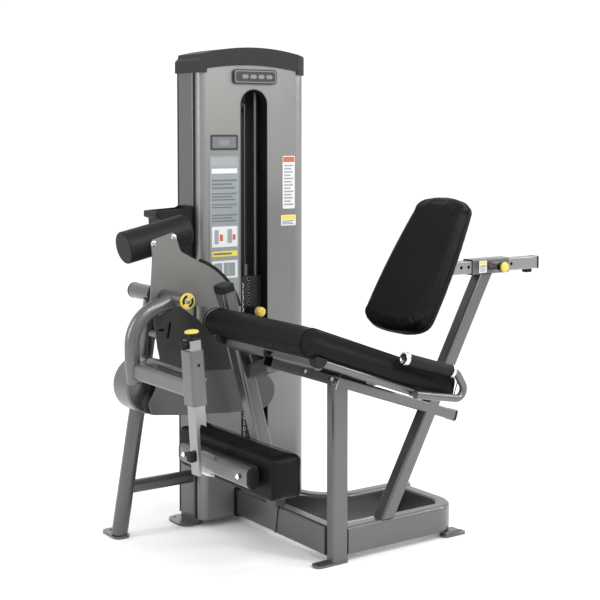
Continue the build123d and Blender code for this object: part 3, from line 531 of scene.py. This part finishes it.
def piping(name, route, radius, look, body):
    """Thin round welt around a closed list of points."""
    curve = bpy.data.curves.new(name, "CURVE")
    curve.dimensions = "3D"
    curve.bevel_depth = radius / 1000
    curve.bevel_resolution = 2
    spline = curve.splines.new("POLY")
    spline.points.add(len(route) - 1)
    for point, co in zip(spline.points, route):
        point.co = (*co, 1)
    spline.use_cyclic_u = True
    helper = bpy.data.objects.new(name + "_line", curve)
    SCENE.collection.objects.link(helper)
    depsgraph = bpy.context.evaluated_depsgraph_get()
    mesh = bpy.data.meshes.new_from_object(helper.evaluated_get(depsgraph))
    bpy.data.objects.remove(helper)
    obj = bpy.data.objects.new(name, mesh)
    SCENE.collection.objects.link(obj)
    mesh.materials.clear()
    mesh.materials.append(M[look])
    for polygon in mesh.polygons:
        polygon.use_smooth = True
    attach(obj, body)


def seat_place(a, run, height):
    """Seat plane: a along X, run down the slope from the front edge, height above the top face."""
    y = -193 + run * cos(SEAT_SLOPE) + height * sin(SEAT_SLOPE)
    z = 810 - run * sin(SEAT_SLOPE) + height * cos(SEAT_SLOPE)
    return at(a, y, z)


def seat_section():
    """Side outline of the seat as (run, height): a flat slab whose front end is a round nose."""
    nose_run, nose_height, nose = -53.5, -43.0, 43.0
    nose_steps, pitch, low_edge, top_edge = 24, 24, 7, 18
    points = []
    for i in range(nose_steps + 1):
        turn = radians(90 + 224 * i / nose_steps)
        points.append((nose_run + nose * cos(turn), nose_height + nose * sin(turn)))
    points += [(run, -SEAT_DEPTH) for run in range(0, 530, pitch)]
    for turn in (radians(t) for t in (0, 30, 60, 90)):
        points.append((SEAT_RUN - low_edge * (1 - sin(turn)), -SEAT_DEPTH + low_edge * (1 - cos(turn))))
    for turn in (radians(t) for t in (0, 18, 36, 54, 72, 90)):
        points.append((SEAT_RUN - top_edge * (1 - cos(turn)), -top_edge + top_edge * sin(turn)))
    points += [(run, 0.0) for run in range(510, -40, -pitch)]
    return points


def seat_cushion():
    """Seat: one upholstered shape with a round nose, flat ends and a sewn welt around each end."""
    outline = seat_section()
    pad = pad_shell("seat_cover", outline, round_profile(SEAT_WIDTH, 6, 6),
                    lambda a, b, h: seat_place(SEAT_FAR + h, a, b))
    base = seat_place(0, 0, -SEAT_DEPTH)
    normal = (seat_place(0, 0, 1) - base).normalized()
    inflate(pad, 6, 4, lambda co: (co - base).dot(normal) < 0.010)
    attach(pad, "frame")
    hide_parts("seat_cushion", "knee_bolster")
    for name, across in (("seat_seam_near", 246.5), ("seat_seam_far", -296.5)):
        route = [seat_place(across, run, height) for run, height in offset_inwards(outline, -1.0)]
        piping(name, route, 1.6, "vinyl", "frame")


def finish_pad(pad, node, body):
    """Puts a finished pad in place of its plain CAD solid."""
    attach(pad, body)
    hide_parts(node)


def shin_cushion():
    """Shin pad: long block with firm sides, small edge radii and a welt around its face."""
    rear = -394.5
    outline = rounded_outline((-296, 334), (244, 459), 13)
    pad = pad_shell("shin_cover", outline, round_profile(109, 15, 6),
                    lambda a, b, h: at(a, rear + h, b))
    back = at(0, rear, 0).y
    inflate(pad, 5, 4, lambda co: co.y < back + 0.01)
    finish_pad(pad, "shin_pad", "shin_slide")
    edge = [at(a, -302, b) for a, b in rounded_outline((-297, 333), (245, 460), 14)]
    piping("shin_seam", edge, 1.2, "vinyl", "shin_slide")


BACK_LEAN = radians(29.5)
BACK_MIDDLE = -25.0
BACK_REAR = 61


def back_place(a, rise, depth):
    """Back pad plane: a along X, rise up the pad from its lower edge, depth behind its face."""
    y = 236 + rise * sin(BACK_LEAN) + depth * cos(BACK_LEAN)
    z = 762 + rise * cos(BACK_LEAN) - depth * sin(BACK_LEAN)
    return at(a, y, z)


def rounded_end(corner, rise, fullness, sign):
    """Rounded end of the back pad between its corners: sign is 1 at the top and -1 at the bottom."""
    points = []
    for i in range(1, 16):
        across = sign * cos(pi * i / 16)
        bulge = (1 - abs(across) ** fullness) ** (1 / 2.2)
        points.append((BACK_MIDDLE + across * (corner[0] - BACK_MIDDLE), corner[1] + sign * rise * bulge))
    return points


def back_outline(grow=0.0):
    """Barrel-sided outline of the back pad, as (across, rise)."""
    side_low, side_length, steps = 58, 387.0, 24
    near = []
    for i in range(steps + 1):
        share = i / steps
        width = 159 - 33 * share ** 1.5 + 5 * sin(pi * share)
        near.append((BACK_MIDDLE + width + grow, side_low + share * side_length))
    far = [(2 * BACK_MIDDLE - x, y) for x, y in reversed(near)]
    return near + rounded_end(near[-1], 52 + grow, 2.6, 1) + far + rounded_end(near[0], 60 + grow, 2.8, -1)


def back_cushion():
    """Back pad: moulded panel with barrel sides and a deep rounded border."""
    outline = back_outline()
    pad = pad_shell("back_cover", outline, round_profile(60, 26, 6, 0.9),
                    lambda a, b, h: back_place(a, b, BACK_REAR - h))
    base = back_place(0, 0, BACK_REAR)
    behind = (back_place(0, 0, BACK_REAR + 1) - base).normalized()
    inflate(pad, 5, 5, lambda co: (co - base).dot(behind) > -0.012)
    finish_pad(pad, "back_pad", "back_slide")
    edge = [back_place(a, b, 40) for a, b in back_outline(0.6)]
    piping("back_seam", edge, 1.3, "vinyl", "back_slide")


# ---------------------------------------------------------------- knobs, bolts and small parts

def cap_bolt(name, centre, axis, radius, body, look="chrome"):
    """Button-head socket screw on a washer; radius is that of its head."""
    profile = [(0, radius * 1.45), (1.2, radius * 1.45), (1.4, radius * 1.05), (1.5, radius),
               (radius * 0.35 + 1.5, radius * 0.9), (radius * 0.5 + 1.8, radius * 0.55),
               (radius * 0.5 + 1.8, radius * 0.42), (1.8, radius * 0.38)]
    lathe(name, centre, axis, profile, look, body, 24)


def hub_disc():
    """Yellow pivot cap with two black crescents and a centre screw."""
    y, z, face_x = -350, 858, -313.6
    face = [(0, 26), (5, 27), (7.5, 26.4), (8.8, 24.5), (9, 22), (8.6, 9), (8.6, 2)]
    cap = lathe("pivot_cap", at(-322, y, z), ALONG_X, face, "yellow", "arm", 64)
    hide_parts("hub_cap")
    for number, start in enumerate((100, 280)):
        outline = []
        for radius, direction in ((21.5, 1), (12.5, -1)):
            for i in range(17):
                share = i / 16 if direction == 1 else 1 - i / 16
                turn = radians(start + 110 * share)
                outline.append((y + radius * cos(turn), z + radius * sin(turn)))
        slab(f"pivot_cap_crescent_{number}", outline, on_x(face_x), 0.9, "plastic", "arm")
    cap_bolt("pivot_cap_screw", at(face_x, y, z), ALONG_X, 6, "arm", "steel")


def pull_knob():
    """Round yellow pull knob on a black collar."""
    y, z = 692, 939
    face = [(0, 10), (0.5, 16), (2, 18.2), (9, 18.2), (12, 16.5), (13.6, 12), (14, 6), (14, 1)]
    knob = lathe("back_pull_knob", at(60, y, z), ALONG_X, face, "yellow", "back_lock", 56)
    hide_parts("back_knob")
    rim = [(1, 18.4), (2, 19.2), (5, 19.2), (6, 18.4)]
    lathe("back_knob_rim", at(60, y, z), ALONG_X, rim, "plastic", "back_lock", 56)
    neck = [(45.4, 9.7), (46, 13.5), (52, 14.2), (58, 12), (60.5, 11)]
    lathe("back_knob_neck", at(0, y, z), ALONG_X, neck, "plastic", "back_lock", 48)


def latch():
    """Mushroom latch on top of the shin tube: dark stem and a yellow oval head."""
    low, top = Vector((0, -491, 587)), Vector((0, -502, 754))
    axis = (top - low).normalized()
    base = top + axis * 32
    start = at(-25, base.y, base.z)
    stem = [(0.2, 15), (3, 13), (12, 9.5), (18, 13), (21, 17)]
    lathe("latch_stem", start, axis, stem, "plastic", "latch", 40)
    head = [(20, 16), (20.5, 20), (21.5, 21.5), (25, 21.5), (27.5, 19.8), (29, 14), (29.3, 7), (29.3, 1)]
    knob = lathe("latch_head", start, axis, head, "yellow", "latch", 56)
    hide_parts("latch_knob")


def selector_pin():
    """Weight pin: plated shank with a yellow round handle."""
    z = hole_height(LIFTED - 1)
    shank = [(0, 2.5), (2, 4.4), (100, 4.4)]
    lathe("selector_pin_shank", at(-662, PIN_HOLE_Y, z), ALONG_X, shank, "steel", "stack_pin", 24)
    sleeve = [(0, 9), (1, 13), (3, 14.5), (56, 14.5), (58, 13)]
    lathe("selector_pin_sleeve", at(-624, PIN_HOLE_Y, z), ALONG_X, sleeve, "plastic", "stack_pin", 48)
    grip = [(0, 12), (1, 16), (3, 17.2), (22, 17.2), (26, 15.8), (28, 12), (28.4, 6), (28.4, 1)]
    handle = lathe("selector_pin_handle", at(-566, PIN_HOLE_Y, z), ALONG_X, grip, "yellow", "stack_pin", 48)
    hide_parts("weight_pin")


def bolts():
    """Visible screw heads."""
    spots = [("cam_bolt_front", at(-464, -392, 1037), ALONG_X, 7, "arm"),
             ("cam_bolt_rear", at(-464, -316, 1055), ALONG_X, 7, "arm"),
             ("pad_bolt_far", at(-185, -445, 395), (0, -1, 0), 6, "shin_slide"),
             ("pad_bolt_near", at(132, -445, 395), (0, -1, 0), 6, "shin_slide")]
    for name, centre, axis, radius, body in spots:
        cap_bolt(name, centre, axis, radius, body)


def shade_infills_and_trims():
    """Painted shade: dark rubber sheets stand in for the shade in the guard's slot, the sleeve's hole and the
    tower's groove; also the cross tube's gasket and the panel's trim.
    """
    # Painted shade: a dark sheet behind the guard plate's slot stands in for the shade inside the slot.
    slab("guard_slot_shade", rounded_outline((-386, 714), (-328, 776), 4), on_x(-468), 1.5, "rubber", "frame")
    # Painted shade: a dark disc in the sleeve's hole stands in for the shade inside the hole.
    lathe("sleeve_hole_shade", at(-4, -497, 711), ALONG_X, [(0, 4.7), (3, 4.7)], "rubber", "arm", 24)
    # Painted shade: a dark strip in the gap between the upright and the shroud stands in for the shade in
    # that groove.
    groove = [(-636, 24), (-625, 24), (-625, 1612), (-636, 1612)]
    slab("tower_groove_shade", groove, lambda a, b, depth: at(a, -139.2 + depth, b), 16, "rubber", "frame")
    slab("panel_top_trim", [(-141, 1590), (324, 1590), (324, 1618), (-141, 1618)], on_x(-744), 3, "shroud",
         "frame")
    slab("cross_tube_gasket", rounded_outline((-3, 19), (53, 126), 10),
         lambda a, b, depth: at(-589.8 + depth, a, b), 7, "rubber", "frame")


def lock_bar():
    """Slanted steel bar through the end of the rail's lock pin."""
    low, high = at(9, 6, 580), at(9, 26, 634)
    length = (high - low).length * 1000
    profile = [(0, 2.4), (1.5, 3.4), (length - 1.5, 3.4), (length, 2.4)]
    lathe("rail_lock_bar", low, high - low, profile, "steel", "frame", 24)


def grip_ends():
    """Chrome discs that close the front ends of the side handles."""
    front_y, front_z, bend_y, bend_z = 70, 714, 285, 648
    direction = Vector((0, front_y - bend_y, front_z - bend_z)).normalized()
    for name, x in (("grip_end_near", 275), ("grip_end_far", -325)):
        profile = [(-6, 20), (0.6, 20.8), (2.4, 19.4), (3, 15), (1.4, 12.5), (1.4, 4)]
        lathe(name, at(x, front_y, front_z), direction, profile, "chrome", "frame", 48)


# ---------------------------------------------------------------- plates, labels and numbers

def label(name, low, high, parts, x=-590.0, corner=4.0, look="white_print"):
    """Thin printed plate on a face at x, with coloured areas as (low, high, look)."""
    base = slab(name + "_base", rounded_outline(low, high, corner), on_x(x + 0.1), 0.9, look, "frame")
    pieces = [base]
    for number, (a, b, ink) in enumerate(parts):
        outline = rounded_outline(a, b, min(1.5, (b[1] - a[1]) * 0.3, (b[0] - a[0]) * 0.3), 2)
        pieces.append(slab(f"{name}_{number}", outline, on_x(x + 0.9), 0.2 + 0.02 * number, ink, "frame"))
    join(name, pieces, "frame")


def text_bars(low, high, rows, ink):
    """Rows of plain bars that stand for lines of writing."""
    ragged = (1.0, 0.82, 0.94, 0.7)
    pitch = (high[1] - low[1]) / rows
    parts = []
    for row in range(rows):
        top = high[1] - row * pitch
        wide = (high[0] - low[0]) * ragged[row % len(ragged)]
        parts.append(((low[0], top - pitch * 0.62), (low[0] + wide, top - pitch * 0.12), ink))
    return parts


def tower_badge():
    """Blank badge on the hood: dark plate, thin border and four plain marks."""
    low, high = (-4, 1577), (179, 1629)
    face = on_x(-584)
    pieces = [slab("badge_base", rounded_outline(low, high, 12), face, 5, "dark_print", "frame", 1.2)]
    for inset, look, depth in ((5, "border_print", 5.5), (8, "dark_print", 6.0)):
        outline = rounded_outline((low[0] + inset, low[1] + inset), (high[0] - inset, high[1] - inset), 8)
        pieces.append(slab(f"badge_{inset}", outline, face, depth, look, "frame"))
    for i in range(4):
        outline = rounded_outline((30 + 34 * i, 1596), (56 + 34 * i, 1610), 6)
        pieces.append(slab(f"badge_mark_{i}", outline, face, 6.6, "border_print", "frame"))
    join("tower_badge", pieces, "frame")


def tower_labels():
    """Blank model plate, placard and small labels, with bars and colour blocks for their print."""
    label("model_plate", (-96, 1342), (18, 1397), [((-88, 1350), (10, 1389), "ink"),
                                                  ((-60, 1360), (-18, 1379), "border_print")],
          corner=5, look="dark_print")
    rows = [((-92, 1288), (12, 1316), "pale_ink"), ((-92, 1260), (14, 1277), "white_print")]
    for bottom, top, count in ((1200, 1240, 3), (1160, 1192, 3), (1134, 1153, 2), (1085, 1116, 3)):
        rows += text_bars((-92, bottom), (12, top), count, "ink")
    rows += [((-92, 999), (14, 1072), "white_print"), ((-82, 1010), (-64, 1060), "pale_ink"),
             ((-60, 1020), (-46, 1044), "red_print"), ((-28, 1012), (-8, 1062), "pale_ink"),
             ((-6, 1022), (6, 1042), "red_print"), ((-92, 965), (14, 984), "yellow_print"),
             ((-86, 971), (-10, 978), "ink"), ((-92, 887), (14, 950), "white_print"),
             ((-84, 894), (-50, 942), "placard"), ((-44, 894), (4, 942), "placard"),
             ((-78, 900), (-68, 936), "pale_ink"), ((-30, 900), (-20, 936), "pale_ink")]
    rows += text_bars((-92, 842), (8, 876), 3, "pale_ink")
    label("use_placard", (-100, 832), (21, 1321), rows, corner=6, look="placard")
    label("warning_label", (210, 1126), (264, 1319),
          [((212, 1296), (262, 1316), "red_print")] + text_bars((216, 1134), (258, 1288), 13, "pale_ink"),
          corner=4)
    label("service_label", (203, 1064), (268, 1103),
          [((205, 1086), (266, 1101), "yellow_print")] + text_bars((208, 1067), (262, 1083), 3, "ink"),
          corner=3)
    label("slide_label", (636, 916), (672, 958),
          [((638, 946), (670, 956), "yellow_print")] + text_bars((640, 919), (668, 943), 6, "ink"),
          x=0.0, corner=2)


def plate_number(index):
    """Generic number of a weight plate, standing on its front face."""
    curve = bpy.data.curves.new(f"number_{index}", "FONT")
    curve.body = str(5 * (index + 1))
    curve.size = 0.024
    curve.extrude = 0.0003
    curve.align_x = "CENTER"
    curve.align_y = "CENTER"
    text = bpy.data.objects.new(f"number_{index}", curve)
    SCENE.collection.objects.link(text)
    facing_x = Matrix(((0, 0, 1, 0), (1, 0, 0, 0), (0, 1, 0, 0), (0, 0, 0, 1)))
    text.matrix_world = Matrix.Translation(at(-628.6, 54, hole_height(index))) @ facing_x
    bpy.context.view_layer.update()
    depsgraph = bpy.context.evaluated_depsgraph_get()
    mesh = bpy.data.meshes.new_from_object(text.evaluated_get(depsgraph))
    mesh.transform(text.matrix_world)
    bpy.data.objects.remove(text)
    mesh.materials.clear()
    mesh.materials.append(M["white_print"])
    number = bpy.data.objects.new(f"number_mesh_{index}", mesh)
    SCENE.collection.objects.link(number)
    return number


def plate_numbers():
    """Generic numbers and pin-hole rings on the weight plates."""
    ring = [(0, 5.2), (0, 6.6), (0.6, 6.6), (0.6, 5.2)]
    for body, first, last in (("stack", 0, LIFTED), ("frame", LIFTED, PLATES)):
        pieces = []
        for index in range(first, last):
            pieces.append(plate_number(index))
            centre = at(-629, PIN_HOLE_Y, hole_height(index))
            pieces.append(ring_piece(f"ring_{index}", centre, ALONG_X, ring, "steel", body))
        join(f"plate_marks_{body}", pieces, body)


def ring_piece(name, centre, axis, profile, look, body):
    """Turned ring: the last point of the profile joins its first."""
    sides = 24
    faces = []
    for ring in range(len(profile)):
        following = (ring + 1) % len(profile)
        faces += band(ring * sides, following * sides, sides)
    return piece(name, turned(centre, axis, profile, sides), faces, look, body)


# ---------------------------------------------------------------- stage, lights and camera

def stage():
    """Plain pale floor under an even white sky."""
    mesh = bpy.data.meshes.new("floor")
    size = 30
    corners = [(-size, -size, 0), (size, -size, 0), (size, size, 0), (-size, size, 0)]
    mesh.from_pydata(corners, [], [(0, 1, 2, 3)])
    floor = bpy.data.objects.new("floor", mesh)
    floor.location.z = -0.0005
    SCENE.collection.objects.link(floor)
    material, _, shader = node_material("floor")
    shader.inputs["Base Color"].default_value = (1.0, 1.0, 1.0, 1)
    shader.inputs["Roughness"].default_value = 0.7
    mesh.materials.append(material)
    world = bpy.data.worlds.new("studio")
    world.use_nodes = True
    world.node_tree.nodes["Background"].inputs["Color"].default_value = (1, 1, 1, 1)
    world.node_tree.nodes["Background"].inputs["Strength"].default_value = 1.08
    SCENE.world = world


def area_light(name, place, target, size, power):
    """Soft rectangular lamp aimed at a point."""
    lamp = bpy.data.lights.new(name, "AREA")
    lamp.shape = "RECTANGLE"
    lamp.size, lamp.size_y = size
    lamp.energy = power
    obj = bpy.data.objects.new(name, lamp)
    obj.location = place
    obj.rotation_euler = (Vector(target) - Vector(place)).to_track_quat("-Z", "Y").to_euler()
    SCENE.collection.objects.link(obj)


def lights():
    """Key, front and rim lamps, and a small one for the tower's head."""
    area_light("key", (3.4, 1.4, 3.2), (0, 0, 0.8), (0.8, 2.2), 85)
    area_light("front", (-1.0, -4.2, 2.4), (0, 0, 0.8), (0.7, 2.6), 60)
    area_light("tower", (1.6, -0.6, 2.5), (-0.35, -0.05, 1.6), (0.9, 0.9), 16)
    area_light("rim", (1.5, 3.6, 2.8), (0, 0, 0.9), (0.7, 2.4), 55)


def camera():
    """Camera at the photograph's viewing angle, placed from the front post."""
    data = bpy.data.cameras.new("camera")
    data.lens = 77.14
    data.sensor_width = 36
    data.shift_y = -0.1425
    data.clip_end = 60
    obj = bpy.data.objects.new("camera", data)
    obj.location = at(3286.6, -2435.7, 1410)
    turn, down = radians(54.906), radians(3.719)
    direction = Vector((-sin(turn) * cos(down), cos(turn) * cos(down), -sin(down)))
    obj.rotation_euler = direction.to_track_quat("-Z", "Y").to_euler()
    SCENE.collection.objects.link(obj)
    SCENE.camera = obj


SCENE.view_settings.view_transform = "Standard"
camera()
lights()
stage()
paint_cad()
seat_cushion()
shin_cushion()
back_cushion()
hub_disc()
pull_knob()
latch()
selector_pin()
bolts()
shade_infills_and_trims()
lock_bar()
grip_ends()
tower_badge()
tower_labels()
plate_numbers()
